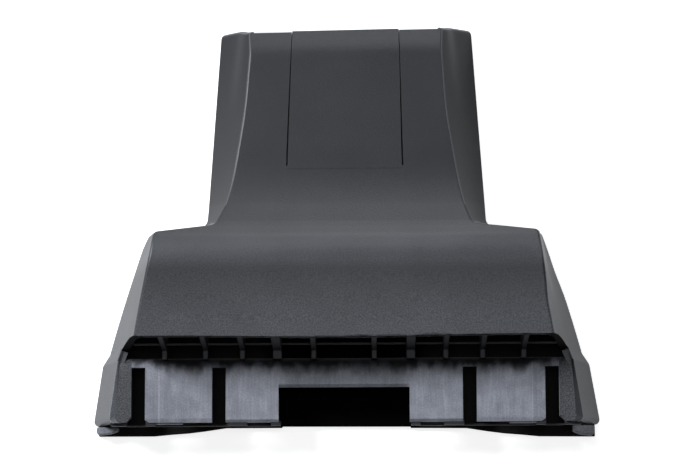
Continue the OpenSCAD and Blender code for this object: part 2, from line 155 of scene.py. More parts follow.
def sharp_side(z):
    """Corners of the right side from the base's end to the neck's end: x, y and corner radius."""
    pts = [(RIM_W / 2 - z * T(RIM_LEAN), -BASE_L, END_R),
           (LIP_RIM_W / 2 + SKIRT - z * T(RIM_LEAN), MOUTH_Y - SKIRT_L, SKIRT_R),
           (LIP_RIM_W / 2 - z * T(LIP_LEAN), MOUTH_Y, 0)]
    for k in range(1, SIDE_N):
        u = k / SIDE_N
        x = (LIP_RIM_W + (SHOULDER_W - LIP_RIM_W) * u) / 2 + 4 * SIDE_BOW * u * (1 - u)
        y = MOUTH_Y + (root_y(z) - SHOULDER_SWEEP - MOUTH_Y) * u
        pts.append((x - z * T(LIP_LEAN + (SHOULDER_LEAN - LIP_LEAN) * u), y, 0))
    pts.append((SHOULDER_W / 2 - z * T(SHOULDER_LEAN), root_y(z) - SHOULDER_SWEEP, SHOULDER_R))
    pts.append((NECK_ROOT_W / 2 - z * T(NECK_ROOT_LEAN), root_y(z), NECK_FILLET))
    for k in range(NECK_FIRST, NECK_N + 1):
        u = 1 - k / NECK_N
        x = (NECK_END_W + (NECK_ROOT_W - NECK_END_W) * u) / 2 - z * T(neck_lean(u))
        pts.append((x, end_y(z) + (root_y(z) - end_y(z)) * u, END_R if k == NECK_N else 0))
    return pts


def unit(v):
    return v / np.linalg.norm(v)


def turn(v, a):
    return np.array([v[0] * cos(a) - v[1] * sin(a), v[0] * sin(a) + v[1] * cos(a)])


def side(z, d):
    """The right side at a height, a distance d inside the outline, with round corners."""
    right = sharp_side(z)
    pts = right + [(-x, y, r) for x, y, r in reversed(right)]
    n = len(pts)
    xy = [np.array(p[:2]) for p in pts]
    moved = []
    for i in range(n):
        a, p, b = xy[i - 1], xy[i], xy[(i + 1) % n]
        m, q = turn(unit(p - a), pi / 2), turn(unit(b - p), pi / 2)
        e, f = p - a, b - p
        bulge = 1 if e[0] * f[1] - e[1] * f[0] > 0 else -1
        r = pts[i][2]
        moved.append((p + d * (m + q) / (1 + m @ q), 0 if r == 0 else max(r - bulge * d, WALL / 8)))
    out = []
    for i in range(n // 2):
        p, r = moved[i]
        if r == 0:
            out.append(p)
            continue
        a, b = moved[i - 1][0], moved[(i + 1) % n][0]
        u, v = unit(a - p), unit(b - p)
        half = acos(max(-1, min(1, u @ v))) / 2
        centre = unit(u + v) * r / sin(half)
        first = u * (r / tan(half)) - centre
        way = 1 if u[0] * v[1] - u[1] * v[0] > 0 else -1
        for k in range(CORNER_N + 1):
            out.append(p + centre + turn(first, -way * (pi - 2 * half) * k / CORNER_N))
    return np.array(out)


class Walls:
    """One side's wall surface: a station index and a height give a point."""

    HIGH = 38.0

    def __init__(self, d):
        self.foot, self.top = side(0.0, d), side(self.HIGH, d)
        self.n = len(self.foot)

    def at(self, i, z):
        k = z / self.HIGH
        p = self.foot[i] * (1 - k) + self.top[i] * k
        return np.array([p[0], p[1], z])

    def along(self, y, z):
        """The point of the base's side wall at a given y and height, from mouth to shoulder."""
        last = MOUTH_I + SIDE_N - 2
        for i in range(MOUTH_I, last + 1):
            a, b = self.at(i, z), self.at(i + 1, z)
            if y <= b[1] or i == last:
                return a + (b - a) * (y - a[1]) / (b[1] - a[1])


# Stations of a wall: the base's end corner, the skirt's corner, then the mouth's foot.
MOUTH_I = 2 * (CORNER_N + 1)
OUT, INN = Walls(0.0), Walls(WALL)
FACE_OUT, FACE_INN = Face(0.0), Face(WALL)


def ease(v, lo, hi):
    k = max(0.0, min(1.0, (v - lo) / (hi - lo)))
    return k * k * (3 - 2 * k)


def side_of(x, left, right):
    return right if x > 0 else left


def settle(co):
    """The moulding's small departures from a true mirror image, as the photo shows them."""
    x, y, z = co
    neck, end, skin = ease(y, 2, 8), ease(y, 32, 62), ease(z, 10, 20)
    # the neck, its tongue and the skin's width at its end
    dx = neck * (0.3 - 0.15 * x / 39)
    if abs(x) < 20:
        dx = neck * 0.1 + 0.3 * ease(y, 18, 62)
    dx += end * skin * ease(abs(x), 20, 27) * side_of(x, -1.3, 1.7)
    dy = end * (skin * (-0.45 + 0.018 * x) + (1 - skin) * 0.4 * (1 + x / 37))
    # the base's side walls, and the right shoulder's upper edge
    if x < -50:
        dx -= 0.45 * ease(y, -46, -36) * (1 - ease(y, -3, 2))
    if x > 50:
        dx -= 0.5 * ease(y, -20, -8)
    if x > 42:
        dx += 2.0 * ease(y, -25, -7) * ease(z, 18, 33) * ease(x, 42, 54)
    # the shoulders stand a little nearer to the neck's end, and the lip is bowed
    dy += side_of(x, 0.28, 0.45) * ease(abs(x), 34, 44) * ease(y, -12, -3) * (1 - neck)
    lip = ease(-y, 18, 34) * ease(z, 19, 26)
    dy += lip * (0.15 + side_of(x, 0.45, 0.65) * ease(abs(x), 4, 50))
    return x + dx, y + dy, z


# Mesh helpers.
def piece(name, bm, mat, smooth_angle=30.0):
    me = bpy.data.meshes.new(name)
    bm.normal_update()
    bm.to_mesh(me)
    bm.free()
    ob = bpy.data.objects.new(name, me)
    bpy.context.scene.collection.objects.link(ob)
    me.materials.append(mat)
    me.transform(Matrix.Translation((0, SHIFT_Y * MM, 0)) @ Matrix.Scale(MM, 4))
    for p in me.polygons:
        p.use_smooth = True
    me.set_sharp_from_angle(angle=radians(smooth_angle))
    w = ob.modifiers.new("weighted", "WEIGHTED_NORMAL")
    w.keep_sharp = True
    w.weight = 50
    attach(ob, "root")
    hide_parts("cover")
    return ob


def bevel(ob, width, segments=2, angle=35.0, method="ANGLE"):
    b = ob.modifiers.new("bevel", "BEVEL")
    b.width = width * MM
    b.segments = segments
    b.limit_method = method
    b.angle_limit = radians(angle)
    b.harden_normals = False
    ob.modifiers.move(len(ob.modifiers) - 1, 0)


def prism(bm, pts, x0, x1):
    """A closed side view, y and z, drawn out between two x values."""
    a = [bm.verts.new((x0, y, z)) for y, z in pts]
    b = [bm.verts.new((x1, y, z)) for y, z in pts]
    n = len(pts)
    bm.faces.new(a)
    bm.faces.new(list(reversed(b)))
    for i in range(n):
        j = (i + 1) % n
        bm.faces.new((a[j], a[i], b[i], b[j]))


def slab(bm, pts, z0, z1):
    """A closed plan, x and y, drawn up between two heights."""
    a = [bm.verts.new((x, y, z0)) for x, y in pts]
    b = [bm.verts.new((x, y, z1)) for x, y in pts]
    n = len(pts)
    bm.faces.new(list(reversed(a)))
    bm.faces.new(b)
    for i in range(n):
        j = (i + 1) % n
        bm.faces.new((a[i], a[j], b[j], b[i]))


def fix(bm):
    bmesh.ops.remove_doubles(bm, verts=bm.verts, dist=1e-5)
    bmesh.ops.recalc_face_normals(bm, faces=bm.faces)
    return bm


def block(name, x0, x1, pts, mat, width=0.25, segments=2):
    bm = bmesh.new()
    prism(bm, pts, x0, x1)
    bevel(piece(name, fix(bm), mat), width, segments)


# Materials.
class Nodes:
    """Shader nodes of one material; places are in the part's frame, in metres."""

    def __init__(self, name, rough, specular):
        self.mat = bpy.data.materials.new(name)
        self.mat.use_nodes = True
        self.nt = self.mat.node_tree
        self.shader = self.nt.nodes["Principled BSDF"]
        self.shader.inputs["Roughness"].default_value = rough
        self.shader.inputs["Specular IOR Level"].default_value = specular
        self.place = self.nt.nodes.new("ShaderNodeTexCoord").outputs["Object"]
        split = self.nt.nodes.new("ShaderNodeSeparateXYZ")
        self.nt.links.new(self.place, split.inputs[0])
        self.x, self.y = split.outputs[0], split.outputs[1]

    def math(self, op, a, b=0.0):
        node = self.nt.nodes.new("ShaderNodeMath")
        node.operation = op
        for k, v in enumerate((a, b)):
            if isinstance(v, (int, float)):
                node.inputs[k].default_value = v
            else:
                self.nt.links.new(v, node.inputs[k])
        return node.outputs[0]

    def off(self, v, centre=0.0):
        """How far a value lies from a centre."""
        return self.math("ABSOLUTE", self.math("SUBTRACT", v, centre) if centre else v)

    def step(self, v, lo, hi, a=0.0, b=1.0, smooth=True):
        """Goes from a to b as v goes from lo to hi."""
        node = self.nt.nodes.new("ShaderNodeMapRange")
        node.interpolation_type = "SMOOTHSTEP" if smooth else "LINEAR"
        for key, val in (("From Min", lo), ("From Max", hi), ("To Min", a), ("To Max", b)):
            node.inputs[key].default_value = val
        self.nt.links.new(v, node.inputs["Value"])
        return node.outputs["Result"]

    def noise(self, size_mm, detail=2.0, stretch=(1, 1, 1), at=(0, 0, 0)):
        mapping = self.nt.nodes.new("ShaderNodeMapping")
        mapping.inputs["Scale"].default_value = [k / (size_mm * MM) for k in stretch]
        mapping.inputs["Location"].default_value = at
        self.nt.links.new(self.place, mapping.inputs["Vector"])
        node = self.nt.nodes.new("ShaderNodeTexNoise")
        node.inputs["Scale"].default_value = 1.0
        node.inputs["Detail"].default_value = detail
        self.nt.links.new(mapping.outputs["Vector"], node.inputs["Vector"])
        return node.outputs["Fac"]

    def vary(self, noise, a, b, smooth=True):
        """Spreads a noise's usual range over a to b."""
        return self.step(noise, 0.3, 0.7, a, b, smooth)


class Plastic(Nodes):
    """A base colour times some factors, and a fine bump."""

    def __init__(self, name, rough, specular):
        super().__init__(name, rough, specular)
        self.shader.inputs["IOR"].default_value = 1.5

    def finish(self, tone, factors, height, bump):
        scale = factors[0]
        for f in factors[1:]:
            scale = self.math("MULTIPLY", scale, f)
        col = self.nt.nodes.new("ShaderNodeVectorMath")
        col.operation = "SCALE"
        col.inputs[0].default_value = tone
        self.nt.links.new(scale, col.inputs["Scale"])
        self.nt.links.new(col.outputs["Vector"], self.shader.inputs["Base Color"])
        node = self.nt.nodes.new("ShaderNodeBump")
        node.inputs["Strength"].default_value = bump
        node.inputs["Distance"].default_value = 0.1 * MM
        self.nt.links.new(height, node.inputs["Height"])
        self.nt.links.new(node.outputs["Normal"], self.shader.inputs["Normal"])
        return self.mat


def grain_of(g, grain):
    """A slow change of tone, a fine one, and the noise under the fine one."""
    fine = g.noise(0.42, 1.5)
    return g.vary(g.noise(16, 3), 0.93, 1.07), g.vary(fine, 1 - grain, 1 + grain, False), fine


def grained(name, tone, rough, specular, grain, bump):
    """Black plastic with a fine spark-eroded grain."""
    g = Plastic(name, rough, specular)
    slow, speck, fine = grain_of(g, grain)
    return g.finish(tone, [slow, speck], fine, bump)


def outer_face(name, tone, rough, specular, grain, bump, glow):
    """The same grain, with less of it on the neck, plus painted light: brighter towards the lip, a
    painted highlight on the crest, and a faint line of painted shade along the tongue's hinge."""
    g = Plastic(name, rough, specular)
    slow, speck, fine = grain_of(g, grain)
    even = g.step(g.y, -0.019, -0.007, 0.0, 0.75)
    speck = g.math("ADD", g.math("MULTIPLY", speck, g.math("SUBTRACT", 1.0, even)), even)
    # painted light: the skin grows brighter towards the lip, by the gain glow
    lower = g.step(g.y, -0.034, -0.012, 1 + glow, 1.0)
    # painted highlight along the crest
    crest = g.step(g.off(g.y, -0.010), 0.0, 0.0064, 1 + 1.05 * glow, 1.0)
    # painted shade of the hinge's fine groove: a thin dark line, broken by noise, across the tongue
    # only
    line = g.off(g.y, (HINGE_Y + SHIFT_Y) * MM)
    line = g.math("ADD", line, g.step(g.noise(1.5, 3), 0.5, 0.75, 0.0, 0.0003))
    line = g.math("MAXIMUM", line, g.step(g.off(g.x), 0.0165, 0.0175, 0.0, 0.001))
    hinge = g.step(line, 0.0001, 0.0004, 0.62, 1.0)
    return g.finish(tone, [slow, speck, lower, crest, hinge], fine, bump)


def worn(name, tone, rough, specular):
    """The plate's worn outer face: brushed and darker in the middle, with a painted shadow of the
    lip.
    """
    g = Plastic(name, rough, specular)
    aside = g.off(g.x)
    slow = g.vary(g.noise(5, 3), 0.87, 1.13)
    fine = g.noise(0.45, 1.5)
    brushed = g.vary(g.noise(0.5, 3, (1, 0.07, 1)), 0.92, 1.08)
    broad = g.vary(g.noise(2.6, 2, (1, 0.10, 1), (5, 0, 0)), 0.92, 1.08)
    across = g.step(aside, 0.0165, 0.0200, 0.63, 1.0)
    # painted shadow of the lip on the plate's near part; its ragged edge reaches less far at the
    # ends
    ragged = g.vary(g.noise(4, 3, (1, 0.5, 1), (9, 0, 0)), -0.0012, 0.0012)
    reach = g.math("ADD", g.math("ADD", g.y, ragged), g.step(aside, 0.050, 0.060, 0.0, -0.0016))
    painted_lip_shadow = g.step(reach, -0.0457, -0.0414, 1.0, 0.05)
    facet_x = (X3 - FACET_W) * MM
    edge = g.step(g.off(aside, facet_x), 0.0001, 0.0004, 1.22, 1.0)
    facet = g.step(aside, facet_x, facet_x + 0.0003, 1.0, 0.90)
    speck = g.vary(fine, 0.86, 1.14, False)
    return g.finish(tone, [slow, brushed, broad, across, painted_lip_shadow, edge, facet, speck], fine, 0.15)


def rear(name, tone, rough, specular):
    """Painted shade: warm near black behind the plate, with painted light behind the slots."""
    g = Plastic(name, rough, specular)
    fine = g.noise(0.6)
    # painted light behind the slots
    slots = g.step(g.off(g.x), 0.020, 0.028, 1.0, 14.0)
    return g.finish(tone, [slots, g.vary(fine, 0.9, 1.1)], fine, 0.05)


# name, colour, roughness, specular level, then the grain's share of the colour and its bump
# the skin's last number is the gain of its painted light towards the lip and on the crest
M_SKIN = outer_face("grained_black_painted_light_and_shade", (0.0255, 0.0268, 0.0300), 0.38, 0.5, 0.42, 0.4, 1.6)
# a darker copy of the skin with less sheen: painted shade on the neck's sides
M_WING_SHADE = grained("neck_side_painted_shade", (0.0130, 0.0147, 0.0185), 0.45, 0.13, 0.3, 0.25)
# painted highlight: a bright line along the ridges beside the neck
M_RIDGE_HIGHLIGHT = grained("ridge_painted_highlight", (0.110, 0.115, 0.127), 0.45, 0.5, 0.15, 0.1)
M_STRIP = grained("plate_end_black", (0.060, 0.0625, 0.069), 0.45, 0.5, 0.7, 0.5)
M_INNER = grained("inner_black", (0.024, 0.0250, 0.0274), 0.55, 0.35, 0.1, 0.1)
# painted shade: a near-black copy for the ribs' sides and the lip's end band
M_PAINTED_SHADE = grained("painted_shade_black", (0.0080, 0.0083, 0.0090), 0.6, 0.15, 0.1, 0.1)
# painted light on the ribs' foot tops and on the bar
M_EDGE_LIGHT = grained("inner_painted_light", (0.080, 0.083, 0.091), 0.5, 0.35, 0.1, 0.1)
# painted light: a far lighter copy for the feet and the left cheek's edge
M_FOOT_LIGHT = grained("foot_painted_light", (0.240, 0.250, 0.275), 0.5, 0.5, 0.3, 0.2)
# painted shade behind the plate, with painted light behind the slots
M_REAR_SHADE_AND_LIGHT = rear("rear_painted_shade_and_light", (0.0021, 0.0019, 0.0018), 0.9, 0.05)
# worn plate, with a painted shadow of the lip
M_PAD = worn("worn_black_painted_lip_shadow", (0.290, 0.302, 0.345), 0.5, 0.4)


# Skin and walls in one shell.
WALL_N, ARC_N = 6, 6
SKIN_SLOT, WING_SHADE_SLOT, PAINTED_LIGHT_SLOT, INNER_SLOT, RIDGE_HIGHLIGHT_SLOT, PAINTED_SHADE_SLOT = range(6)
# columns of a row: the first of the ridge's painted highlight line, and the slit
RIDGE_COL, SLIT_COL = 2 * WALL_N + 2, 2 * WALL_N + ARC_N + 3
RIDGE_FROM_Y = 4.0


def ridge_z(w, face, i):
    """Height where a wall's station meets the face."""
    z = 30.0
    for _ in range(30):
        z = face.height(w.at(i, z)[1])
    return z


def ridge(w, face, i):
    """A row's sharp corner between wall and skin, the way along the ridge and the way down."""
    if i is None:
        z = face.height(LIP_END_Y)
        r = w.along(LIP_END_Y, z)
        ahead = w.along(LIP_END_Y + 1, face.height(LIP_END_Y + 1))
        return r, unit(ahead - r), unit(w.along(LIP_END_Y, z - 1) - r)
    z = ridge_z(w, face, i)
    r = w.at(i, z)
    j, k = max(i - 1, MOUTH_I + 1), min(i + 1, w.n - 1)
    a, b = w.at(j, ridge_z(w, face, j)), w.at(k, ridge_z(w, face, k))
    return r, unit(b - a), unit(w.at(i, z - 1) - r)


def row_points(w, face, i, radius):
    """One row of the shell's right side, up the wall and round the ridge; station None is the
    mouth's row."""
    r, along, down = ridge(w, face, i)
    s = radians(face.slope(r[1]))
    inward = np.cross(np.array([0, sin(s), cos(s)]), along)
    # corner arc between wall and skin
    half = acos(max(-1, min(1, down @ inward))) / 2
    reach = radius / tan(half)
    centre = r + unit(down + inward) * radius / sin(half)
    va, vb = r + down * reach - centre, r + inward * reach - centre
    ang = acos(max(-1, min(1, unit(va) @ unit(vb))))
    arc = []
    for k in range(ARC_N + 1):
        f = k / ARC_N
        arc.append(centre + (sin((1 - f) * ang) * va + sin(f * ang) * vb) / sin(ang))
    # the wall below it
    za = arc[0][2]
    low = PLATE_H * min(1.0, za / (face.height(-LIP_Y) - reach))
    pts = []
    for k in range(WALL_N + 1):
        z = low * k / WALL_N
        pts.append(w.along(MOUTH_Y, z) if i is None else w.at(i, z))
    for k in range(1, WALL_N):
        z = low + (za - low) * k / WALL_N
        if i is None:
            y = MOUTH_Y + (LIP_END_Y - MOUTH_Y) * (z - PLATE_H) / (r[2] - PLATE_H)
            pts.append(w.along(y, z))
        else:
            pts.append(w.at(i, z))
    return pts + arc


def whole_row(w, face, i, radius):
    """A row from rim to rim, with the skin's columns at the tongue's slits."""
    pts = row_points(w, face, i, radius)
    edge_x, y, z = pts[-1]
    far = (y - HINGE_Y) / TONGUE_L
    th = (TONGUE_ROOT_W + (TONGUE_END_W - TONGUE_ROOT_W) * far) / 2
    th = min(th, TONGUE_ROOT_W / 2 + SLIT_SPREAD)
    gap = SLIT_W + (SLIT_END_W - SLIT_W) * max(0.0, min(1.0, far))
    th += 0.0 if w is OUT else SLIT_LEAN
    row = [Vector(p) for p in pts]
    for x in (edge_x * 0.66 + (th + gap) * 0.34, edge_x * 0.33 + (th + gap) * 0.67,
              th + gap, th, th / 2, 0.0):
        if i is None:
            yy = y + (1 - (x / edge_x) ** 2) * (LIP_MID_Y - LIP_END_Y)
            row.append(Vector((x, yy, z + face.height(yy) - face.height(y))))
        else:
            row.append(Vector((x, y, z)))
    return row + [Vector((-p.x, p.y, p.z)) for p in reversed(row[:-1])]


def quad(bm, *verts):
    if len(set(verts)) == 4:
        return bm.faces.new(verts)


def skin_and_walls(bm):
    """The outer and the inner surface and the faces between their edges."""
    stations = [None] + list(range(MOUTH_I + 1, OUT.n))
    o, n = [[[bm.verts.new(p) for p in whole_row(w, face, i, radius)] for i in stations]
            for w, face, radius in ((OUT, FACE_OUT, EDGE_R), (INN, FACE_INN, EDGE_R_INSIDE))]
    rows, last = len(stations) - 1, len(o[0]) - 2
    slits = (SLIT_COL, last - SLIT_COL)
    first = next(r for r in range(rows) if o[r][SLIT_COL].co.y >= HINGE_Y)
    for grid in (o, n):
        for r in range(rows):
            for c in range(last + 1):
                if c in slits and r >= first:
                    continue
                face = quad(bm, grid[r][c], grid[r][c + 1], grid[r + 1][c + 1], grid[r + 1][c])
                on_ridge = min(c, last - c) in (RIDGE_COL, RIDGE_COL + 1)
                # the ridge's faces on the neck get the painted highlight
                if face and grid is o and on_ridge and grid[r][c].co.y > RIDGE_FROM_Y:
                    face.material_index = RIDGE_HIGHLIGHT_SLOT
    for r in range(rows):
        quad(bm, o[r][0], o[r + 1][0], n[r + 1][0], n[r][0])
        quad(bm, o[r][-1], n[r][-1], n[r + 1][-1], o[r + 1][-1])
        for c in slits if r >= first else ():
            for k in (c, c + 1):
                quad(bm, o[r][k], o[r + 1][k], n[r + 1][k], n[r][k])
    for c in slits:
        quad(bm, o[first][c], o[first][c + 1], n[first][c + 1], n[first][c])
    for c in range(last + 1):
        # the lip's end band gets painted shade
        quad(bm, o[0][c], n[0][c], n[0][c + 1], o[0][c + 1]).material_index = PAINTED_SHADE_SLOT
        if c not in slits:
            quad(bm, o[-1][c], o[-1][c + 1], n[-1][c + 1], n[-1][c])
    for grid in (o, n):
        for v in grid[-1][slits[0] + 1:slits[1] + 1]:
            v.co.y += TONGUE_PROUD
            v.co.z -= TONGUE_PROUD * T(END_BEVEL_A)


def cheek_rise(y):
    """How far a cheek's edge stands over the plate."""
    return CHEEK_RISE * max(0.0, (MOUTH_Y - y) / (BASE_L + 1 + MOUTH_Y))


def cheeks(bm):
    """The low walls beyond the mouth, welded to the shell; a bevel leads down to the plate."""
    for sgn in (1, -1):
        loops = []
        for i in range(MOUTH_I + 1):
            rise = cheek_rise(OUT.at(i, PLATE_H)[1])
            top = OUT.at(i, PLATE_H + rise)
            inward = unit(INN.at(i, PLATE_H + rise) - top)
            if i <= CORNER_N:
                inward = np.array([-1.0, 0.0, 0.0])
            foot = top + inward * (CHEEK_FOOT + rise * CHEEK_SPREAD)
            foot[2] = PLATE_H
            low = OUT.at(i, CHEEK_INNER_H)
            low = low + inward * max(CHEEK_LEDGE, (foot - low) @ inward)
            loop = [OUT.at(i, (PLATE_H + rise) * k / WALL_N) for k in range(WALL_N + 1)]
            loop += [top + inward * CHEEK_FLAT, foot, low]
            loop += [INN.at(i, CHEEK_INNER_H * k / WALL_N) for k in range(WALL_N, -1, -1)]
            loops.append([bm.verts.new((p[0] * sgn, p[1], p[2])) for p in loop])
        bm.faces.new(loops[0])
        for a, b in zip(loops, loops[1:]):
            for k in range(len(a)):
                j = (k + 1) % len(a)
                quad(bm, a[k], a[j], b[j], b[k])
        bm.faces.new(loops[-1])


def paint_shell(bm):
    """Material slots: painted shade on the neck's sides, and the cheeks' edges, the left one in
    painted light.
    """
    for f in bm.faces:
        c = f.calc_center_median()
        beside_neck = c.y > root_y(c.z) + 0.5 and abs(f.normal.x) > 0.7
        if f.material_index == SKIN_SLOT and beside_neck and c.z < FACE_OUT.height(c.y) - 0.6:
            f.material_index = WING_SHADE_SLOT
        elif c.y < MOUTH_Y - 2.6 and f.normal.z > 0.4 and c.z > PLATE_H - 0.2:
            # the left cheek's edge gets painted light
            f.material_index = side_of(c.x, PAINTED_LIGHT_SLOT, INNER_SLOT)


bm = bmesh.new()
skin_and_walls(bm)
cheeks(bm)
fix(bm)
paint_shell(bm)
for v in bm.verts:
    v.co = settle(v.co)
shell_ob = piece("cover_shell", bm, M_SKIN, 28.0)
for m in (M_WING_SHADE, M_FOOT_LIGHT, M_INNER, M_RIDGE_HIGHLIGHT, M_PAINTED_SHADE):
    shell_ob.data.materials.append(m)


# The slotted plate.
PAD_SLOT, STRIP_SLOT = 0, 1
NEAR_ANGLES = (32, 42, 52, 62, 72, 81)


def wall_x(y, z):
    """Half width of the walls at a place beside the plate."""
    pts = [OUT.at(i, z) for i in range(OUT.n)]
    for a, b in zip(pts, pts[1:]):
        if a[1] <= y <= b[1] and b[1] - a[1] > 1e-6:
            return a[0] + (b[0] - a[0]) * (y - a[1]) / (b[1] - a[1])
    return pts[0][0]


def plate_top(x, y):
    """Height of the plate's outer face."""
    z = PLATE_H
    if y > CURVE_Y:
        z -= PLATE_T * (1 - sqrt(max(0.0, 1 - ((y - CURVE_Y) / NEAR_CURVE) ** 2)))
    if x < OPEN_X - TOL:
        return z - max(0.0, BEVEL_IN - (y - OPEN_Y)) if y < OPEN_Y + BEVEL_IN else z
    if x < X1 + TOL:
        z -= max(0.0, BEVEL_IN - (y - FAR_Y))
    elif X2 - TOL < x < X3 + TOL:
        z -= BEVEL_OUT_FALL * max(0.0, BEVEL_OUT - (y - FAR_Y))
        if y < SLOT_Y + TOL:
            z -= FACET_DROP * max(0.0, (x - X3 + FACET_W) / FACET_W)
    return z


def plate_mesh():
    """The plate as one grid of cells, with the slots and the opening left out, drawn down."""
    bottom = PLATE_H - PLATE_T
    # the last column lies along the wall
    xs = [0.0, OPEN_X - 0.4, OPEN_X, X1, X2, X3 - FACET_W, X3, X4, X4 + STRIP_IN, RIM_W]
    ys = [FAR_Y, FAR_Y + BEVEL_IN, FAR_Y + BEVEL_OUT, OPEN_Y, OPEN_Y + BEVEL_IN, CURVE_Y, SLOT_Y]
    ys += [CURVE_Y + NEAR_CURVE * S(a) for a in NEAR_ANGLES]
    wall = len(xs) - 1
    cells = set()
    for i in range(wall):
        mid = (xs[i] + xs[i + 1]) / 2
        for j in range(len(ys) - 1):
            in_opening = ys[j] < OPEN_Y - TOL and mid < OPEN_X
            in_slot = ys[j] < SLOT_Y - TOL and (X1 < mid < X2 or X3 < mid < X4)
            if not in_opening and not in_slot:
                cells.add((i, j))
    bm = bmesh.new()
    for sgn in (1, -1):
        made = {}

        def vert(i, j):
            if (i, j) not in made:
                x, y = xs[i], ys[j]
                if i == wall:
                    rise = cheek_rise(y)
                    x = wall_x(max(y, -BASE_L + 0.3), PLATE_H + rise)
                    x -= PLATE_CLEAR + rise * CHEEK_SPREAD
                if xs[i] == X4 and j < 2:
                    y = FAR_Y + STRIP_CUT
                if xs[i] == X3 and j == 0:
                    x -= PAD_CUT
                if 0 < i < wall:
                    x += sgn * PLATE_SHIFT * (1 - (x / SHIFT_FADE) ** 3)
                made[i, j] = (bm.verts.new((x * sgn, y, plate_top(xs[i], ys[j]))),
                              bm.verts.new((x * sgn, y, bottom)))
            return made[i, j]

        for i, j in cells:
            a, b, c, d = vert(i, j), vert(i + 1, j), vert(i + 1, j + 1), vert(i, j + 1)
            bm.faces.new((a[0], b[0], c[0], d[0]))
            bm.faces.new((d[1], c[1], b[1], a[1]))
            for di, dj, p, q in ((0, -1, a, b), (1, 0, b, c), (0, 1, c, d), (-1, 0, d, a)):
                if (i + di, j + dj) not in cells and not (di == -1 and i == 0):
                    bm.faces.new((q[0], p[0], p[1], q[1]))
    bmesh.ops.remove_doubles(bm, verts=bm.verts, dist=1e-4)
    bmesh.ops.recalc_face_normals(bm, faces=bm.faces)
    for f in bm.faces:
        c = f.calc_center_median()
        f.material_index = STRIP_SLOT if abs(c.x) > X4 or c.z < bottom + 0.2 else PAD_SLOT
    weight = bm.edges.layers.float.new("bevel_weight_edge")
    for e in bm.edges:
        by_wall = min(abs(v.co.x) for v in e.verts) > X4 + 2
        if not by_wall and len(e.link_faces) == 2 and e.calc_face_angle(0.0) > 0.5:
            e[weight] = 1.0
    return bm


plate_ob = piece("cover_plate", plate_mesh(), M_PAD)
plate_ob.data.materials.append(M_STRIP)
bevel(plate_ob, 0.3, 3, 30.0, "WEIGHT")

# Ribs and bar.
RIB_XS, RIB_T, THICK_RIB, THICK_RIB_T = (9.0, 19.9, 30.3, 41.3, 53.5), 1.6, 1, 2.7
RIB_KNEE_Y, RIB_END_Y, RIB_FOOT_H, RIB_TOP_L = -35.5, NEAR_Y - 0.5, PLATE_H + 0.6, 7.0
BAR_L, BAR_Y, BAR_T, BAR_Z0, BAR_Z1 = 63.0, -34.1, 0.5, 19.4, 21.2


def ribs():
    bm = bmesh.new()
    view = [(-LIP_Y, LIP_Z - WALL / 2), (-LIP_Y - 0.3, LIP_Z - WALL - 0.1),
            (RIB_KNEE_Y, RIB_FOOT_H), (RIB_END_Y, RIB_FOOT_H), (RIB_END_Y, PLATE_H - PLATE_T),
            (-LIP_Y + WALL, PLATE_H - PLATE_T), (-LIP_Y + RIB_TOP_L, LIP_Z - WALL / 2)]
    for i, x in enumerate(RIB_XS):
        t = THICK_RIB_T if i == THICK_RIB else RIB_T
        for s in (1, -1):
            prism(bm, view, s * x - t / 2, s * x + t / 2)
    for v in bm.verts:
        v.co.x += PLATE_SHIFT * 0.9
    bmesh.ops.recalc_face_normals(bm, faces=bm.faces)
    for f in bm.faces:
        # 0 front, 1 sides in painted shade, 2 the foot's top in painted light
        foot = f.normal.z > 0.9 and f.calc_center_median().z < RIB_FOOT_H + 1
        f.material_index = 1 if abs(f.normal.x) > 0.7 else 2 if foot else 0
    return bm


ribs_ob = piece("cover_ribs", ribs(), M_INNER)
ribs_ob.data.materials.append(M_PAINTED_SHADE)
ribs_ob.data.materials.append(M_EDGE_LIGHT)
bevel(ribs_ob, 0.22, 2, 30.0)
# the bar is coloured with painted light
block("cover_bar", -BAR_L, BAR_L, [(BAR_Y, BAR_Z1), (BAR_Y + BAR_T, BAR_Z1),
                                   (BAR_Y + BAR_T, BAR_Z0), (BAR_Y, BAR_Z0)], M_EDGE_LIGHT, 0.12)

# Rail, blocks, bosses and feet.
RAIL_TOP, RAIL_W, RAIL_T, RAIL_GAP, RAIL_L = 13.0, 2.0, 0.5, 0.4, 70.1
RAIL_Y, RAIL_Z = FAR_Y - RAIL_GAP, RAIL_TOP - RAIL_W
BLOCK_SPANS = ((OPEN_X, OPEN_X + 2.8), (X1 - 6, X1), (X3 - 2.8, X3), (X4 + STRIP_IN, X4 + 6.5))
BLOCK_H, BLOCK_IN = PLATE_H - 1.1, 1.0
BOSS_SPAN, BOSS_H, BOSS_IN = (X2 + 9.4, X2 + 17.7), PLATE_H - 1.5, 1.2
FOOT_X, FOOT_Y, FOOT_W, FOOT_H = RIM_W / 2 - 1.7 - 6.5, -BASE_L - 3.0, 6.5, 6.0
FOOT_BACK = -BASE_L - 0.4


def upright(y0, y1, top):
    """Side view of a box that stands on the rail's lower edge."""
    return [(y0, RAIL_Z), (y0, top), (y1, top), (y1, RAIL_Z)]


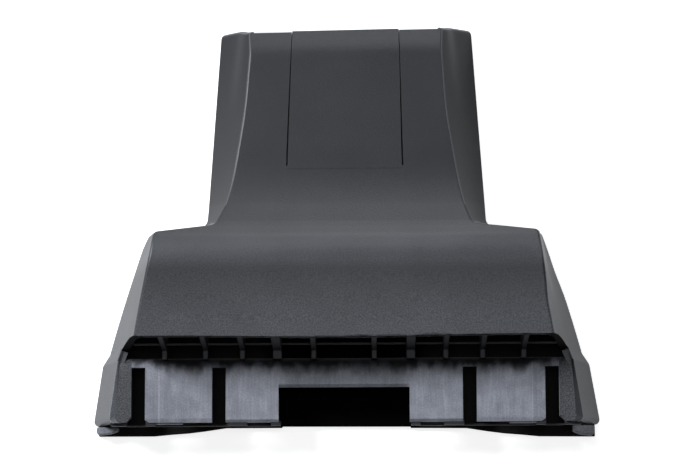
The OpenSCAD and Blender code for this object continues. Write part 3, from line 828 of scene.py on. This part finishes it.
for s, tag in ((1, "right"), (-1, "left")):
    def span(a, b):
        return (a, b) if s > 0 else (-b, -a)
    block("cover_rail_" + tag, *span(OPEN_X, RAIL_L), upright(RAIL_Y - RAIL_T, RAIL_Y, RAIL_TOP),
          M_INNER, 0.15)
    for k, (a, b) in enumerate(BLOCK_SPANS):
        block("cover_block_%d_%s" % (k, tag), *span(a, b),
              upright(RAIL_Y - RAIL_T, RAIL_Y + BLOCK_IN, BLOCK_H), M_INNER, 0.15)
    block("cover_boss_" + tag, *span(*BOSS_SPAN), upright(RAIL_Y, RAIL_Y + BOSS_IN, BOSS_H),
          M_PAD, 0.2)
    # the right foot stands a little farther in and out, as in the photo
    x, y = (FOOT_X - 0.7, FOOT_Y - 0.5) if s > 0 else (FOOT_X, FOOT_Y + 0.2)
    plan = [(x, y + 1.2), (x + 2.4, y + 0.35), (x + 5.9, y), (x + FOOT_W, y + 0.7),
            (x + FOOT_W, FOOT_BACK), (x, FOOT_BACK)]
    # the feet are coloured with painted light
    bm = bmesh.new()
    slab(bm, [(px * s, py) for px, py in (plan if s > 0 else reversed(plan))], 0.0, FOOT_H)
    bevel(piece("cover_foot_" + tag, fix(bm), M_FOOT_LIGHT), 0.4, 3)

# Rear tie: half of its plan; the other half is turned by a hair.
TIE_T, TIE_IN, TIE_TURN, TIE_OUT = 2.2, -26.0, 0.008, 75.3
deep, level, middle = -BASE_L - 3.0, -BASE_L - 0.6, -BASE_L - 0.2
half = [(OPEN_X, middle), (OPEN_X, level), (36.5, level), (43, level - 0.95),
        (48.0, (level + deep) / 2 - 0.35), (53, deep + 0.5), (58.5, deep), (TIE_OUT, deep),
        (TIE_OUT, -BASE_L), (72.5, MOUTH_Y - SKIRT_L), (RAIL_L, MOUTH_Y), (69.0, -LIP_Y),
        (67.0, TIE_IN)]
bm = bmesh.new()
slab(bm, [(x, y - TIE_TURN * x) for x, y in half] + [(-x, y) for x, y in reversed(half)],
     0.0, TIE_T)
bevel(piece("cover_tie", fix(bm), M_REAR_SHADE_AND_LIGHT), 0.3, 2)

# The floor is white to the eye and in reflections, but not under the cover.
FLOOR_SIZE, FLOOR_TONE, EYE_GLOW, BOUNCE_GLOW = 30, 0.86, 0.8, 0.22
UNDER_X, UNDER_Y, UNDER_MID_Y = (0.026, 0.034), (0.0425, 0.0445), 0.020
scene = bpy.context.scene


def floor():
    g = Nodes("floor_white", 0.9, 0.0)
    g.shader.inputs["Base Color"].default_value = (FLOOR_TONE, FLOOR_TONE, FLOOR_TONE, 1)
    path = g.nt.nodes.new("ShaderNodeLightPath").outputs
    seen = g.math("MULTIPLY", path["Is Camera Ray"], EYE_GLOW)
    bounced = g.math("ADD", path["Is Glossy Ray"], path["Is Transmission Ray"])
    rays = g.math("ADD", seen, g.math("MULTIPLY", bounced, BOUNCE_GLOW))
    beside, beyond = g.step(g.off(g.x), *UNDER_X), g.step(g.off(g.y, UNDER_MID_Y), *UNDER_Y)
    glow = g.nt.nodes.new("ShaderNodeEmission")
    glow.inputs["Color"].default_value = (1, 1, 1, 1)
    g.nt.links.new(g.math("MULTIPLY", rays, g.math("MAXIMUM", beside, beyond)),
                   glow.inputs["Strength"])
    both = g.nt.nodes.new("ShaderNodeAddShader")
    g.nt.links.new(g.shader.outputs["BSDF"], both.inputs[0])
    g.nt.links.new(glow.outputs["Emission"], both.inputs[1])
    g.nt.links.new(both.outputs["Shader"], g.nt.nodes["Material Output"].inputs["Surface"])
    me = bpy.data.meshes.new("floor")
    h = FLOOR_SIZE / 2
    me.from_pydata([(-h, -h, 0), (h, -h, 0), (h, h, 0), (-h, h, 0)], [], [(0, 1, 2, 3)])
    me.materials.append(g.mat)
    ob = bpy.data.objects.new("floor", me)
    scene.collection.objects.link(ob)


floor()
scene.world = bpy.data.worlds.new("studio")
scene.world.use_nodes = True
sky = scene.world.node_tree.nodes["Background"]
sky.inputs["Color"].default_value = (1, 1, 1, 1)
sky.inputs["Strength"].default_value = 0.04

# Round lamps aimed at the cover: height and direction in degrees, size in m, power in W.
LAMP_AWAY, LAMP_COLOUR = 1.3, (0.975, 1.0, 1.05)
for name, height, way, size, power in (
        ("key_back_left", 45, 145, 0.45, 14.0), ("back_right", 45, 35, 0.4, 1.2),
        ("overhead", 89, 90, 0.4, 1.4), ("back_high", 40, 90, 0.4, 1.1),
        ("back_middle", 25, 90, 0.4, 1.0), ("back_low", 12, 90, 0.4, 1.9)):
    lamp = bpy.data.lights.new(name, "AREA")
    lamp.shape = "DISK"
    lamp.size = size
    lamp.energy = power
    lamp.color = LAMP_COLOUR
    ob = bpy.data.objects.new(name, lamp)
    d = Vector((C(height) * C(way), C(height) * S(way), S(height)))
    ob.location = d * LAMP_AWAY
    ob.rotation_euler = (-d).to_track_quat("-Z", "Y").to_euler()
    scene.collection.objects.link(ob)

# The camera stands where the photo's edges meet: 700 mm away, 82 degrees up, a little to the right.
# The photo is 700 pixels wide; the point it aims at lies at AIM_PX in it.
CAM_UP, CAM_AWAY, CAM_ASIDE, CAM_ROLL, AIM_Z = 82.0, 700.0, 11.0, -0.22, 18.0
F_PX, W_PX, H_PX, AIM_PX = 2331.0, 700.0, 467.0, (345.0, 232.0)
SENSOR = 36.0


def axes(fwd):
    right = fwd.cross(Vector((0, 1, 0))).normalized()
    return right, right.cross(fwd)


def aim_camera():
    target = Vector((0, 0, AIM_Z))
    c = target + Vector((CAM_ASIDE, -CAM_AWAY * C(CAM_UP), CAM_AWAY * S(CAM_UP)))
    fwd = (target - c).normalized()
    right, up = axes(fwd)
    fwd = (fwd - (AIM_PX[0] - W_PX / 2) / F_PX * right
           - (H_PX / 2 - AIM_PX[1]) / F_PX * up).normalized()
    right, up = axes(fwd)
    m = Matrix((C(CAM_ROLL) * right + S(CAM_ROLL) * up, -S(CAM_ROLL) * right + C(CAM_ROLL) * up,
                -fwd)).transposed().to_4x4()
    m.translation = (c + Vector((0, SHIFT_Y, 0))) * MM
    return m


cam = bpy.data.cameras.new("camera")
cam.sensor_width = SENSOR
cam.lens = SENSOR * F_PX / W_PX
cam.clip_start = 0.01
cam_ob = bpy.data.objects.new("camera", cam)
cam_ob.matrix_world = aim_camera()
scene.collection.objects.link(cam_ob)
scene.camera = cam_ob

scene.view_settings.view_transform = "Standard"

bpy.context.view_layer.update()
